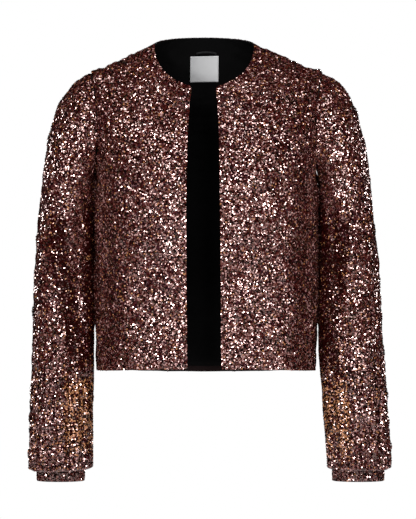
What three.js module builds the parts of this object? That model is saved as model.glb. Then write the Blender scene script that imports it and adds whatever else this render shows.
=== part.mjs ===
// A cropped, collarless blouson in sequinned cloth, worn open, keeping the hollow form of a standing figure.
// Millimetres, +Z up, the front faces -Y. "Left" and "right" are the wearer's, so left is +X.
// The origin is midway between the shoulders' neck points, where the wearer's shoulders carry the garment.
import * as THREE from 'three';

// Cloth and seams
const clothThickness = 1.8; // sequins on a knit ground
const liningThickness = 1;
const bandThickness = 2.6; // elastic in a doubled cuff band
const seamGap = 0.3;
const liningSlack = 0.9; // the lining hangs this far inside the cloth
const liningStart = { level: 0.05, angle: 0.4 }; // it begins above the hem and inside the side seams

// The torso as rings from hem to neck. Each ring leans from its side point to its front and back points.
// halfWidth, chest and spine are the ring's reach sideways, forwards and backwards. square is the ring's
// superellipse power. frontDroop and backDroop say how late the lean starts round the ring.
const torso = [
  { name: 'hem', sideZ: -503.5, frontZ: -497.5, backZ: -510, halfWidth: 168.5, chest: 119, spine: 96,
    square: 2.35, frontDroop: 2, backDroop: 2, shift: 0 },
  { name: 'waist', sideZ: -390, frontZ: -386, backZ: -392, halfWidth: 172.4, chest: 116, spine: 90,
    square: 2.35, frontDroop: 2, backDroop: 2, shift: 0 },
  { name: 'bust', sideZ: -275, frontZ: -268, backZ: -275, halfWidth: 173, chest: 124, spine: 100,
    square: 2.4, frontDroop: 2, backDroop: 2, shift: 0 },
  { name: 'underarm', sideZ: -205, frontZ: -204, backZ: -204, halfWidth: 172.5, chest: 123, spine: 106,
    square: 2.5, frontDroop: 2, backDroop: 2, shift: 0 },
  { name: 'midArmhole', sideZ: -140, frontZ: -158, backZ: -144, halfWidth: 176, chest: 114, spine: 101,
    square: 2.6, frontDroop: 1.8, backDroop: 1.8, shift: 0 },
  { name: 'upperArmhole', sideZ: -84, frontZ: -128, backZ: -105, halfWidth: 179.5, chest: 102, spine: 91,
    square: 2.5, frontDroop: 1.5, backDroop: 1.3, shift: 0 },
  { name: 'shoulderTip', sideZ: -44, frontZ: -106, backZ: -71, halfWidth: 179, chest: 92, spine: 80,
    square: 2.05, frontDroop: 1.2, backDroop: 1, shift: 0 },
  { name: 'outerShoulder', sideZ: -31, frontZ: -92, backZ: -43, halfWidth: 150, chest: 84, spine: 70,
    square: 2.1, frontDroop: 1.25, backDroop: 1.3, shift: -1 },
  { name: 'innerShoulder', sideZ: -16.5, frontZ: -81, backZ: -15, halfWidth: 118, chest: 77, spine: 61,
    square: 2.1, frontDroop: 1.1, backDroop: 1.1, shift: -2 },
  { name: 'neck', sideZ: 0, frontZ: -69.5, backZ: 16, halfWidth: 77, chest: 68, spine: 52,
    square: 2.05, frontDroop: 0.97, backDroop: 0.75, shift: -3.5 },
];
const ringNumber = (name) => torso.findIndex((ring) => ring.name === name);
const underarm = ringNumber('underarm');
const shoulderTip = ringNumber('shoulderTip');
const neck = ringNumber('neck');

// The open front edges, measured from the middle line at each ring, and the round corner at the neck
const frontEdge = {
  left: [22.5, 21.5, 20.5, 19.5, 18.8, 18.2, 17.2, 16.6, 15.4, 13.5],
  right: [28.8, 30, 30.6, 29.6, 28.6, 27.4, 26, 25.4, 24, 20.5],
};
const frontCorner = { reach: 9, levels: 0.85 };

// The armhole on the torso's rings: how far it opens to the front and back of the side line, in degrees
const armholeReach = { front: 22, back: 20 };
const armholeSteps = 12; // from underarm to shoulder tip
const panelRows = { body: [0, 0.6, 1.2, 1.8, 2.4], shoulder: [6.6, 7.3, 8.1, 8.6, 8.88] }; // levels of rows
const panelColumns = { front: 11, back: 20 };
const squareSeam = 0.02; // seams whose cosine from the side line is under this are cut square

// The sleeve head leaves the armhole outwards, and turns down into the upper arm
const sleeveHead = {
  topSlope: 0.27, sideSlope: 0.75, bulge: 0.35,
  leaveTop: 54, leaveUnder: 18, arriveTop: 64, arriveUnder: 25,
};

// The sleeves as rings from the upper arm to the wrist. tilt lifts a ring's outer side above its inner side.
const sleeve = [
  { name: 'upperArm', z: -234, left: [252.5, 174.3], right: [253.5, 174.3], middleY: 0, depth: 63,
    tilt: 28, gather: 0 },
  { name: 'elbow', z: -335, left: [264.5, 174.3], right: [264.5, 174.5], middleY: -5, depth: 56,
    tilt: 10, gather: 0 },
  { name: 'forearm', z: -450, left: [271.5, 172.6], right: [268, 174.8], middleY: -12, depth: 52,
    tilt: 2, gather: 0.5 },
  { name: 'lowerSleeve', z: -556, left: [276.8, 179.7], right: [270, 176.2], middleY: -19, depth: 50,
    tilt: 0, gather: 1.6 },
  { name: 'blouse', z: -640, left: [280, 187], right: [271, 177.4], middleY: -24, depth: 48,
    tilt: 0, gather: 3 },
];
const sleeveRoundness = 2.15;
const sleeveGrid = {
  headShare: 0.3, head: [0, 0.12, 0.25, 0.4, 0.55, 0.7, 0.85],
  arm: [0, 0.5, 1, 1.5, 2, 2.5], wrist: [3, 3.34, 3.67, 4],
  bends: [0, 35, 65, 90], inward: [0.5, 1], coarse: 24, fine: 48,
};
const gatherCount = 12;
const blouseTurn = { startZ: -648.5, radius: 6 }; // where the sleeve turns under to meet its cuff
const armFold = { angle: 118, width: 26, depth: 5, from: 0.3, to: 0.78 }; // the long fold inside the elbow

// The cuff bands
const cuff = {
  left: [273.7, 193.4], right: [261.6, 187.6], middleY: -25, depth: 30, height: 18, softEdge: 0.6,
};

// The neck label and the hanger loop above it, on the back lining
const label = {
  width: 45, height: 39, thickness: 0.8, middleX: -3.2, topZ: -11.9, turn: 1.2,
  clear: 0.5, free: 0.03, steps: 4,
};
const loop = {
  halfSpan: 16, rise: 4.5, width: 3, thickness: 1.4, middleX: 0, z: -6.5, clear: 0.3, bow: 1.5, steps: 10,
};

const degrees = Math.PI / 180;
const mix = (a, b, t) => a + (b - a) * t;

// A smooth curve through evenly numbered values that never swings past them
function through(values, at) {
  const last = values.length - 1;
  const i = Math.min(last - 1, Math.max(0, Math.floor(at)));
  const rise = (k) => values[k + 1] - values[k];
  const slope = (k) => {
    if (k === 0) return rise(0);
    if (k === last) return rise(last - 1);
    const before = rise(k - 1);
    const after = rise(k);
    return before * after > 0 ? (2 * before * after) / (before + after) : 0;
  };
  const t = at - i;
  const s = 1 - t;
  return values[i] * (1 + 2 * t) * s * s + slope(i) * t * s * s
    + values[i + 1] * t * t * (3 - 2 * t) - slope(i + 1) * t * t * s;
}
const columnOf = (table, column, at) => through(table.map((row) => row[column]), at);

// A point of the torso's outer face. level runs from 0 at the hem to the neck's number.
// angle is 0 at the middle of the front, +-90 at the sides and 180 at the middle of the back.
function torsoPoint(angle, level) {
  const of = (column) => columnOf(torso, column, level);
  const power = 2 / of('square');
  const s = Math.sin(angle * degrees);
  const c = Math.cos(angle * degrees);
  const inFront = c > 0;
  const lean = Math.abs(c) ** of(inFront ? 'frontDroop' : 'backDroop');
  return new THREE.Vector3(
    of('shift') + of('halfWidth') * Math.sign(s) * Math.abs(s) ** power,
    (inFront ? -of('chest') : of('spine')) * Math.abs(c) ** power,
    mix(of('sideZ'), of(inFront ? 'frontZ' : 'backZ'), lean),
  );
}

// The outward normal there, taken inside the panel that runs from the angle towards inwards
function torsoNormal(angle, level, inwards) {
  const step = 0.05;
  const down = level > neck / 2 ? -1 : 1;
  const here = torsoPoint(angle, level);
  const round = torsoPoint(angle + step * inwards, level).sub(here).multiplyScalar(inwards);
  const up = torsoPoint(angle, level + down * step * 0.1).sub(here).multiplyScalar(down);
  return round.cross(up).normalize();
}

// How far the armhole opens from the side line at a level, in degrees
function armholeOpening(level, face) {
  if (level <= underarm || level >= shoulderTip) return 0;
  const half = (shoulderTip - underarm) / 2;
  const height = (level - underarm - half) / half;
  return armholeReach[face] * Math.sqrt(Math.max(0, 1 - height * height));
}

// A point of the armhole's edge. turn is 0 at the shoulder tip, 90 in front, 180 under the arm, 270 behind.
function armholeLevel(turn) {
  const half = (shoulderTip - underarm) / 2;
  return underarm + half * (1 + Math.cos(turn * degrees));
}
function armholePoint(side, turn) {
  const across = Math.sin(turn * degrees);
  const face = across >= 0 ? 'front' : 'back';
  return torsoPoint(side * (90 - armholeReach[face] * across), armholeLevel(turn));
}

// The levels of the panels' rows: even in the body, finer along the armhole, then over the shoulder
function panelLevels() {
  const hole = [];
  for (let i = 0; i <= armholeSteps; i += 1) hole.push(armholeLevel(180 - (180 * i) / armholeSteps));
  return [...panelRows.body, ...hole, ...panelRows.shoulder, neck];
}

// Half the angle that a seam's gap takes at the side line
function seamAngle(level) {
  const reach = torsoPoint(90, level).distanceTo(torsoPoint(89, level));
  return seamGap / 2 / reach;
}

function edgeAngle(side, level) {
  const intoCorner = Math.max(0, 1 - (neck - level) / frontCorner.levels);
  const x = through(frontEdge[side > 0 ? 'left' : 'right'], level)
    + frontCorner.reach * (1 - Math.sqrt(1 - intoCorner * intoCorner));
  const share = (x + side * columnOf(torso, 'shift', level) * -1) / columnOf(torso, 'halfWidth', level);
  return Math.asin(share ** (columnOf(torso, 'square', level) / 2)) / degrees;
}

// One closed wall between an outer and an inner sheet of points, both given row by row.
// A row that closes on itself makes a tube. Rows may double their count of points once on the way.
function wall(outer, inner, closed) {
  const places = [];
  const faces = [];
  const lay = (rows) => rows.map((row) => row.map((p) => places.push(p.x, p.y, p.z) / 3 - 1));
  const out = lay(outer);
  const inn = lay(inner);
  const put = (a, b, c, flip) => (flip ? faces.push(a, c, b) : faces.push(a, b, c));
  const strip = (low, high, flip) => {
    const steps = closed ? low.length : low.length - 1;
    const times = high.length > low.length ? 2 : 1;
    for (let i = 0; i < steps; i += 1) {
      const next = (i + 1) % low.length;
      const end = (times * (i + 1)) % high.length;
      put(low[i], low[next], high[end], flip);
      if (times === 1) {
        put(low[i], high[end], high[i], flip);
      } else {
        put(low[i], high[2 * i + 1], high[2 * i], flip);
        put(low[i], high[end], high[2 * i + 1], flip);
      }
    }
  };
  const rim = (line, other, flip, round) => {
    const steps = round ? line.length : line.length - 1;
    for (let i = 0; i < steps; i += 1) {
      const next = (i + 1) % line.length;
      put(line[i], other[i], other[next], flip);
      put(line[i], other[next], line[next], flip);
    }
  };
  for (let k = 0; k + 1 < out.length; k += 1) {
    strip(out[k], out[k + 1], false);
    strip(inn[k], inn[k + 1], true);
  }
  const top = out.length - 1;
  rim(out[0], inn[0], false, closed);
  rim(out[top], inn[top], true, closed);
  if (!closed) {
    const columnAt = (rows, i) => rows.map((row) => row.at(i));
    rim(columnAt(out, 0), columnAt(inn, 0), true, false);
    rim(columnAt(out, -1), columnAt(inn, -1), false, false);
  }
  const geometry = new THREE.BufferGeometry();
  geometry.setAttribute('position', new THREE.Float32BufferAttribute(places, 3));
  geometry.setIndex(faces);
  return facingOut(geometry);
}

// Turns every face round if the closed surface encloses a negative volume
function facingOut(geometry) {
  const p = geometry.getAttribute('position');
  const index = geometry.getIndex().array;
  const corner = (i) => new THREE.Vector3().fromBufferAttribute(p, index[i]);
  let volume = 0;
  for (let i = 0; i < index.length; i += 3) {
    volume += corner(i).dot(corner(i + 1).cross(corner(i + 2)));
  }
  if (volume < 0) {
    for (let i = 0; i < index.length; i += 3) [index[i + 1], index[i + 2]] = [index[i + 2], index[i + 1]];
  }
  geometry.computeVertexNormals();
  return geometry;
}

// A panel of the torso between two angles, each a function of the level. depths are from the outer face in.
function torsoPanel(levels, columns, from, to, depths) {
  const sheet = (depth) => levels.map((level) => {
    const row = [];
    for (let i = 0; i <= columns; i += 1) {
      const angle = mix(from(level), to(level), i / columns);
      const normal = torsoNormal(angle, level, i < columns / 2 ? 1 : -1);
      const atSeam = Math.abs(Math.cos(angle * degrees)) < squareSeam;
      if (atSeam) normal.setY(0).normalize(); // the side and shoulder seams are cut square
      row.push(torsoPoint(angle, level).addScaledVector(normal, -depth));
    }
    return row;
  });
  return wall(sheet(depths[0]), sheet(depths[1]), false);
}

function frontPanel(side) {
  const from = (level) => side * edgeAngle(side, level);
  const to = (level) => side * (90 - seamAngle(level) - armholeOpening(level, 'front'));
  const [low, high] = side > 0 ? [from, to] : [to, from];
  return torsoPanel(panelLevels(), panelColumns.front, low, high, [0, clothThickness]);
}

function backPanel(levels, depths, extraGap) {
  const margin = (level) => 90 + seamAngle(level) + extraGap + armholeOpening(level, 'back');
  return torsoPanel(levels, panelColumns.back, margin, (level) => 360 - margin(level), depths);
}

// The lining starts a little above the hem, and follows the back panel's inner face
function backLining() {
  const start = clothThickness + liningSlack;
  const levels = panelLevels();
  levels[0] = liningStart.level;
  return backPanel(levels, [start, start + liningThickness], liningStart.angle);
}

// A ring of the sleeve below its head. along counts the table's rows, turn is as at the armhole.
function sleeveRing(side, along, turn) {
  const reach = (end) => through(sleeve.map((row) => row[side > 0 ? 'left' : 'right'][end]), along);
  const [outer, inner] = [reach(0), reach(1)];
  return ovalPoint(side, outer, inner, columnOf(sleeve, 'middleY', along), columnOf(sleeve, 'depth', along),
    columnOf(sleeve, 'z', along), columnOf(sleeve, 'tilt', along), turn);
}

function ovalPoint(side, outer, inner, middleY, depth, z, tilt, turn) {
  const c = Math.cos(turn * degrees);
  const s = Math.sin(turn * degrees);
  const power = 2 / sleeveRoundness;
  return new THREE.Vector3(
    side * ((outer + inner) / 2 + ((outer - inner) / 2) * Math.sign(c) * Math.abs(c) ** power),
    middleY - depth * Math.sign(s) * Math.abs(s) ** power,
    z + tilt * c,
  );
}

// The sleeve head: from the armhole's edge out over the shoulder and down to the upper arm's ring
function sleeveHeadPoint(side, t, turn) {
  const c = Math.cos(turn * degrees);
  const s = Math.sin(turn * degrees);
  const over = (1 + c) / 2; // 1 over the shoulder, 0 under the arm
  const start = armholePoint(side, turn);
  start.x += side * (seamGap + 0.1);
  const leave = new THREE.Vector3(
    side,
    -sleeveHead.bulge * s,
    -mix(2 * sleeveHead.sideSlope, sleeveHead.topSlope, over),
  ).normalize().multiplyScalar(mix(sleeveHead.leaveUnder, sleeveHead.leaveTop, over));
  const end = sleeveRing(side, 0, turn);
  const arrive = sleeveRing(side, 0.01, turn).sub(end).normalize()
    .multiplyScalar(-mix(sleeveHead.arriveUnder, sleeveHead.arriveTop, over));
  const curve = new THREE.CubicBezierCurve3(start, start.clone().add(leave), end.clone().add(arrive), end);
  return curve.getPoint(t);
}

// How far a point of the sleeve is pushed in by the fold at the elbow and out by the gathers.
// whole runs from 0 at the armhole to 1 at the sleeve's lower end.
function sleeveDrape(along, whole, turn) {
  const off = (turn - armFold.angle) / armFold.width;
  const length = THREE.MathUtils.clamp((whole - armFold.from) / (armFold.to - armFold.from), 0, 1);
  const fold = armFold.depth * Math.exp(-off * off) * Math.sin(Math.PI * length);
  const gather = along > 0 ? columnOf(sleeve, 'gather', along) * Math.cos(gatherCount * turn * degrees) : 0;
  return gather - fold;
}

// Moves a point of a sleeve away from or towards the sleeve's own middle line
function swell(point, middle, amount) {
  const away = new THREE.Vector3(point.x - middle.x, point.y - middle.y, 0).normalize();
  return point.addScaledVector(away, amount);
}

// The sleeve's rings with their counts of points: head, arm, and the blouse that turns under to the cuff
function sleeveRows() {
  const rows = [];
  const { headShare, head, arm, wrist, bends, inward, coarse, fine } = sleeveGrid;
  const last = sleeve.length - 1;
  for (const t of head) {
    rows.push({ count: coarse, whole: headShare * t, along: 0,
      at: (side, turn) => sleeveHeadPoint(side, t, turn) });
  }
  for (const along of [...arm, ...wrist]) {
    rows.push({ count: wrist.includes(along) ? fine : coarse, whole: mix(headShare, 1, along / last), along,
      at: (side, turn) => sleeveRing(side, along, turn) });
  }
  for (const bend of bends) {
    rows.push({ count: fine, whole: 1, along: last, fade: 1 - bend / 100,
      at: (side, turn) => blousePoint(side, bend, 0, turn) });
  }
  for (const share of inward) {
    rows.push({ count: fine, whole: 1, along: last, fade: 0.1 * (1 - share),
      at: (side, turn) => blousePoint(side, 90, share, turn) });
  }
  return rows;
}

// Below the last ring the cloth turns under, and runs in to the top of the cuff band
function blousePoint(side, bend, inward, turn) {
  const last = sleeve.length - 1;
  const from = sleeve[last][side > 0 ? 'left' : 'right'];
  const to = cuff[side > 0 ? 'left' : 'right'];
  const turned = blouseTurn.radius * (1 - Math.cos(bend * degrees));
  const row = sleeve[last];
  const lip = bandThickness / 2;
  return ovalPoint(side,
    mix(from[0] - turned, to[0] - lip, inward), mix(from[1] + turned, to[1] + lip, inward),
    mix(row.middleY, cuff.middleY, inward), mix(row.depth - turned, cuff.depth - lip, inward),
    blouseTurn.startZ - blouseTurn.radius * Math.sin(bend * degrees), 0, turn);
}

function sleevePanel(side) {
  const rows = sleeveRows();
  const outer = rows.map((row) => {
    const middle = row.at(side, 90).add(row.at(side, 270)).multiplyScalar(0.5);
    const ring = [];
    for (let i = 0; i < row.count; i += 1) {
      const turn = (360 * i) / row.count;
      const drape = sleeveDrape(row.along, row.whole, turn) * (row.fade ?? 1);
      ring.push(swell(row.at(side, turn), middle, drape));
    }
    return ring;
  });
  return wall(outer, movedIn(outer, side, clothThickness), true);
}

// The inner face of a closed tube: every point moved against the outward normal of its ring and its length
function movedIn(rows, side, depth) {
  return rows.map((row, k) => row.map((point, i) => {
    const n = row.length;
    const round = row[(i + 1) % n].clone().sub(row[(i + n - 1) % n]);
    const before = rows[Math.max(0, k - 1)];
    const after = rows[Math.min(rows.length - 1, k + 1)];
    const along = after[(i * after.length) / n | 0].clone().sub(before[(i * before.length) / n | 0]);
    const normal = round.cross(along).normalize().multiplyScalar(side);
    return point.clone().addScaledVector(normal, -depth);
  }));
}

function cuffBand(side) {
  const [outer, inner] = cuff[side > 0 ? 'left' : 'right'];
  const top = blouseTurn.startZ - blouseTurn.radius - seamGap;
  const ring = (z, depth, round) => {
    const points = [];
    for (let i = 0; i < sleeveGrid.coarse; i += 1) {
      points.push(ovalPoint(side, outer - depth - round, inner + depth + round, cuff.middleY,
        cuff.depth - depth - round, z, 0, (360 * i) / sleeveGrid.coarse));
    }
    return points;
  };
  const bottom = top - cuff.height;
  const soft = cuff.softEdge; // the band's lower edge is a soft fold
  const heights = [[top, 0], [(top + bottom) / 2, 0], [bottom + soft, 0], [bottom, soft]];
  const sheet = (depth, sign) => heights.map(([z, round]) => ring(z, depth, sign * round));
  return wall(sheet(0, 1), sheet(bandThickness, -1), true);
}

// A point on the inner face of the back lining, at a place seen from the front
function onLining(x, z, depth) {
  let [low, high] = [underarm, neck];
  const angleAt = (level) => {
    const share = Math.abs(x - columnOf(torso, 'shift', level)) / columnOf(torso, 'halfWidth', level);
    const turned = Math.asin(share ** (columnOf(torso, 'square', level) / 2)) / degrees;
    return x < columnOf(torso, 'shift', level) ? 180 + turned : 180 - turned;
  };
  for (let i = 0; i < 40; i += 1) {
    const middle = (low + high) / 2;
    if (torsoPoint(angleAt(middle), middle).z < z) low = middle; else high = middle;
  }
  const angle = angleAt(low);
  const reach = clothThickness + liningSlack + liningThickness + seamGap + depth;
  return torsoPoint(angle, low).addScaledVector(torsoNormal(angle, low, 1), -reach);
}

// The label hangs from its upper edge on the lining, so it stands a little free lower down
function neckLabel() {
  const turn = label.turn * degrees;
  const sheet = (depth) => {
    const rows = [];
    for (let k = 0; k <= label.steps; k += 1) {
      const row = [];
      for (let i = 0; i <= label.steps; i += 1) {
        const right = label.width * (i / label.steps - 0.5);
        const down = (label.height * k) / label.steps;
        const x = label.middleX + right * Math.cos(turn) + down * Math.sin(turn);
        const z = label.topZ + right * Math.sin(turn) - down * Math.cos(turn);
        row.push(onLining(x, z, label.clear + depth + label.free * down));
      }
      rows.push(row);
    }
    return rows;
  };
  return wall(sheet(0), sheet(label.thickness), false);
}

// A short ribbon bowed between its two sewn ends
function hangerLoop() {
  const sheet = (depth) => [0, 1].map((edge) => {
    const line = [];
    for (let i = 0; i <= loop.steps; i += 1) {
      const share = (2 * i) / loop.steps - 1;
      const bowed = 1 - share * share;
      const z = loop.z + (loop.rise * bowed) / 2 - loop.width * edge;
      line.push(onLining(loop.middleX + loop.halfSpan * share, z, loop.clear + loop.bow * bowed + depth));
    }
    return line;
  });
  return wall(sheet(0), sheet(loop.thickness), false);
}

const sequinned = { color: 0x4a2420, roughness: 0.35, metalness: 0.6 };
const blackCloth = { color: 0x0b0a0c, roughness: 0.7, metalness: 0 };
const greySatin = { color: 0xc6c6c8, roughness: 0.5, metalness: 0 };

function piece(name, geometry, finish) {
  const mesh = new THREE.Mesh(geometry, new THREE.MeshStandardMaterial(finish));
  mesh.name = name;
  return mesh;
}

const blouson = new THREE.Group();
blouson.add(
  piece('front_left', frontPanel(1), sequinned),
  piece('front_right', frontPanel(-1), sequinned),
  piece('back', backPanel(panelLevels(), [0, clothThickness], 0), sequinned),
  piece('sleeve_left', sleevePanel(1), sequinned),
  piece('sleeve_right', sleevePanel(-1), sequinned),
  piece('cuff_left', cuffBand(1), sequinned),
  piece('cuff_right', cuffBand(-1), sequinned),
  piece('lining_back', backLining(), blackCloth),
  piece('neck_label', neckLabel(), greySatin),
  piece('hanger_loop', hangerLoop(), blackCloth),
);

export default blouson;
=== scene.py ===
import math
import bpy
import numpy as np
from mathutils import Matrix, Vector


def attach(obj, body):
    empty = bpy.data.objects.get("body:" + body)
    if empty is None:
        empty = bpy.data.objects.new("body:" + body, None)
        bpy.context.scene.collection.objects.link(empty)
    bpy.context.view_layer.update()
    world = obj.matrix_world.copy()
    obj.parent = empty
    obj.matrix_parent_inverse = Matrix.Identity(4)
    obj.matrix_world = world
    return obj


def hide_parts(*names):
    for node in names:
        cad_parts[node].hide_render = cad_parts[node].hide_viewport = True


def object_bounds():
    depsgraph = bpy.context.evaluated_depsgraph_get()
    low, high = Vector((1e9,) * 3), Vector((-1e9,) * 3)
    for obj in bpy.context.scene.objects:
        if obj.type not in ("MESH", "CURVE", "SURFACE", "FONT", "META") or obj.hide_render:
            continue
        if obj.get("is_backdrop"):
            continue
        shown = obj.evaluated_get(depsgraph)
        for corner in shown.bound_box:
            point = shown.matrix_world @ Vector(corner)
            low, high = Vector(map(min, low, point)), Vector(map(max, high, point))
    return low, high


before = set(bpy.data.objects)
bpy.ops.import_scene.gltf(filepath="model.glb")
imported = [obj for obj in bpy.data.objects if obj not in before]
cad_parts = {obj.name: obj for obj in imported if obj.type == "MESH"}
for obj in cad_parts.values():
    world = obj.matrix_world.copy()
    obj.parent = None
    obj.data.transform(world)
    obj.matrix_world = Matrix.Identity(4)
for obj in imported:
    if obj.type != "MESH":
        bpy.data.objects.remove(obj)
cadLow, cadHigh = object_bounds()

# A cropped sequinned blouson. Pattern sizes are in millimetres, angles in degrees. Meshes are scaled by mm.
# Left and right are the wearer's, so left is +X. The front faces -Y.
mm = 0.001
luck = np.random.default_rng(29)
sides = ((1, "left"), (-1, "right"))


# Shader maths: a wrapped socket takes part in Python expressions
class Wire:
    def __init__(self, tree, socket):
        self.tree = tree
        self.socket = socket

    def calc(self, operation, first, second):
        node = self.tree.nodes.new("ShaderNodeMath")
        node.operation = operation
        for slot, value in enumerate((first, second)):
            if isinstance(value, Wire):
                self.tree.links.new(value.socket, node.inputs[slot])
            else:
                node.inputs[slot].default_value = value
        return Wire(self.tree, node.outputs[0])

    def __add__(self, other):
        return self.calc("ADD", self, other)

    def __radd__(self, other):
        return self.calc("ADD", other, self)

    def __sub__(self, other):
        return self.calc("SUBTRACT", self, other)

    def __rsub__(self, other):
        return self.calc("SUBTRACT", other, self)

    def __mul__(self, other):
        return self.calc("MULTIPLY", self, other)

    def __rmul__(self, other):
        return self.calc("MULTIPLY", other, self)


class Finish:
    def __init__(self, name, **constants):
        self.material = bpy.data.materials.new(name)
        self.material.use_nodes = True
        self.tree = self.material.node_tree
        self.shader = self.tree.nodes["Principled BSDF"]
        for socket, value in constants.items():
            self.shader.inputs[socket.replace("_", " ")].default_value = value

    # Any node: its type, its settings, what its sockets hold or are linked to, and the output wanted
    def node(self, kind, settings=None, sockets=None, output=0):
        node = self.tree.nodes.new(kind)
        for key, value in (settings or {}).items():
            if key == "stops":
                self.setStops(node.color_ramp, value)
            else:
                setattr(node, key, value)
        for key, value in (sockets or {}).items():
            if isinstance(value, Wire):
                self.tree.links.new(value.socket, node.inputs[key])
            else:
                node.inputs[key].default_value = value
        return Wire(self.tree, node.outputs[output])

    def setStops(self, ramp, stops):
        for i, (place, colour) in enumerate(stops):
            stop = ramp.elements[i] if i < 2 else ramp.elements.new(place)
            stop.position = place
            stop.color = (*colour, 1)

    def feed(self, socket, wire):
        self.tree.links.new(wire.socket, self.shader.inputs[socket])

    def bumpFrom(self, height, distance):
        bump = self.node("ShaderNodeBump", {}, {"Strength": 1.0, "Distance": distance, "Height": height})
        self.feed("Normal", bump)

    def place(self):
        return self.node("ShaderNodeTexCoord", {}, {}, "Object")

    def bands(self, place, direction, scale):
        sockets = {"Vector": place, "Scale": scale}
        return self.node("ShaderNodeTexWave", {"bands_direction": direction}, sockets, "Fac")

    def ramp(self, fac, dark, light, low=0.1, high=0.9):
        return self.node("ShaderNodeValToRGB", {"stops": [(low, dark), (high, light)]}, {"Fac": fac})


# Surfaces of the pattern
torso = {  # one entry a ring, from hem to neck
    "sideZ": [-503.5, -390, -275, -205, -140, -84, -44, -31, -16.5, 0],
    "frontZ": [-497.5, -386, -268, -204, -158, -128, -106, -92, -81, -69.5],
    "backZ": [-510, -392, -275, -204, -144, -105, -71, -43, -15, 16],
    "halfWidth": [168.5, 172.4, 173, 172.5, 176, 179.5, 179, 150, 118, 77],
    "chest": [119, 116, 124, 123, 114, 102, 92, 84, 77, 68],
    "spine": [96, 90, 100, 106, 101, 91, 80, 70, 61, 52],
    "square": [2.35, 2.35, 2.4, 2.5, 2.6, 2.5, 2.05, 2.1, 2.1, 2.05],
    "frontDroop": [2, 2, 2, 2, 1.8, 1.5, 1.2, 1.25, 1.1, 0.97],
    "backDroop": [2, 2, 2, 2, 1.8, 1.3, 1, 1.3, 1.1, 0.75],
    "shift": [0, 0, 0, 0, 0, 0, 0, -1, -2, -3.5],
}
underarm, shoulderTip, neck = 3, 6, 9  # ring numbers
frontEdge = {  # how far each front's open edge stands from the middle, a number a ring
    1: [22.5, 21.5, 20.5, 19.5, 18.8, 18.2, 17.2, 16.6, 15.4, 13.5],
    -1: [28.8, 30, 30.6, 29.6, 28.6, 27.4, 26, 25.4, 24, 20.5],
}
frontCorner = {"reach": 9, "levels": 0.85}  # the rounded corner at the neck
armholeReach = {"front": 22, "back": 20}  # how far each armhole reaches round the body, in degrees
sleeve = {  # one entry a ring, from the upper arm to the wrist
    "z": [-234, -335, -450, -556, -640],
    "outer": {1: [252.5, 264.5, 271.5, 276.8, 280], -1: [253.5, 264.5, 268, 270, 271]},
    "inner": {1: [174.3, 174.3, 172.6, 179.7, 187], -1: [174.3, 174.5, 174.8, 176.2, 177.4]},
    "middleY": [0, -5, -12, -19, -24],
    "depth": [63, 56, 52, 50, 48],
    "tilt": [28, 10, 2, 0, 0],
    "gather": [0, 0, 0.5, 1.6, 3],
}
sleeveHead = {"topSlope": 0.27, "sideSlope": 0.75, "bulge": 0.35, "share": 0.3,
              "leaveTop": 54, "leaveUnder": 18, "arriveTop": 64, "arriveUnder": 25}
sleeveRoundness = 2.15
gathers = {"count": 12, "sway": 0.35, "fineCount": 31, "fineShare": 0.35, "uneven": (0.35, 0.2),
           "phases": {1: (0.9, 2.1), -1: (2.4, 0.4)}}
blouseTurn = {"startZ": -650.7, "radius": 3.8, "sag": {1: 1.0, -1: 3.0}}  # sag is at the outer side
cuff = {"outer": {1: 273.7, -1: 261.6}, "inner": {1: 193.4, -1: 187.6}, "middleY": -25, "depth": 30,
        "height": 18, "thickness": 2.6, "topZ": -654.8}
groundDepth = 0.9  # from the pattern's surface in to the knit ground, with the sequins between
groundThickness = 0.7
liningDepth = 2.7  # from the pattern's surface in to the lining
liningThickness = 0.7
onLiningDepth = 1.0  # from the lining's outer face in to what is sewn on it


def through(values, at):
    # A smooth curve through evenly numbered values that never swings past them
    v = np.asarray(values, float)
    last = len(v) - 1
    rise = np.diff(v)
    slope = np.empty(last + 1)
    slope[0], slope[-1] = rise[0], rise[-1]
    same = rise[:-1] * rise[1:] > 0
    total = np.where(same, rise[:-1] + rise[1:], 1)
    slope[1:-1] = np.where(same, 2 * rise[:-1] * rise[1:] / total, 0)
    at = np.asarray(at, float)
    i = np.clip(np.floor(at).astype(int), 0, last - 1)
    t = at - i
    s = 1 - t
    return (v[i] * (1 + 2 * t) * s * s + slope[i] * t * s * s
            + v[i + 1] * t * t * (3 - 2 * t) - slope[i + 1] * t * t * s)


def unit(v):
    return v / np.maximum(np.linalg.norm(v, axis=-1, keepdims=True), 1e-12)


def signedPower(x, power):
    return np.sign(x) * np.abs(x) ** power


def torsoForm(angle, level):
    angle, level = np.broadcast_arrays(np.radians(angle), np.asarray(level, float))
    column = {name: through(values, level) for name, values in torso.items()}
    power = 2 / column["square"]
    s, c = np.sin(angle), np.cos(angle)
    inFront = c > 0
    lean = np.abs(c) ** np.where(inFront, column["frontDroop"], column["backDroop"])
    endZ = np.where(inFront, column["frontZ"], column["backZ"])
    reach = np.where(inFront, -column["chest"], column["spine"])
    return np.stack([
        column["shift"] + column["halfWidth"] * signedPower(s, power),
        reach * np.abs(c) ** power,
        column["sideZ"] + (endZ - column["sideZ"]) * lean,
    ], -1)


def normalOf(surface, u, v, du, dv, outward):
    # The normal of any surface given as a function of two numbers
    alongU = surface(u + du, v) - surface(u - du, v)
    alongV = surface(u, v + dv) - surface(u, v - dv)
    return outward * unit(np.cross(alongU, alongV))


def within(x, low, high, soft):
    # 1 between low and high, falling off smoothly over soft
    rise = np.clip((x - low) / soft, 0, 1)
    fall = np.clip((high - x) / soft, 0, 1)
    return rise * rise * (3 - 2 * rise) * fall * fall * (3 - 2 * fall)


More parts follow.
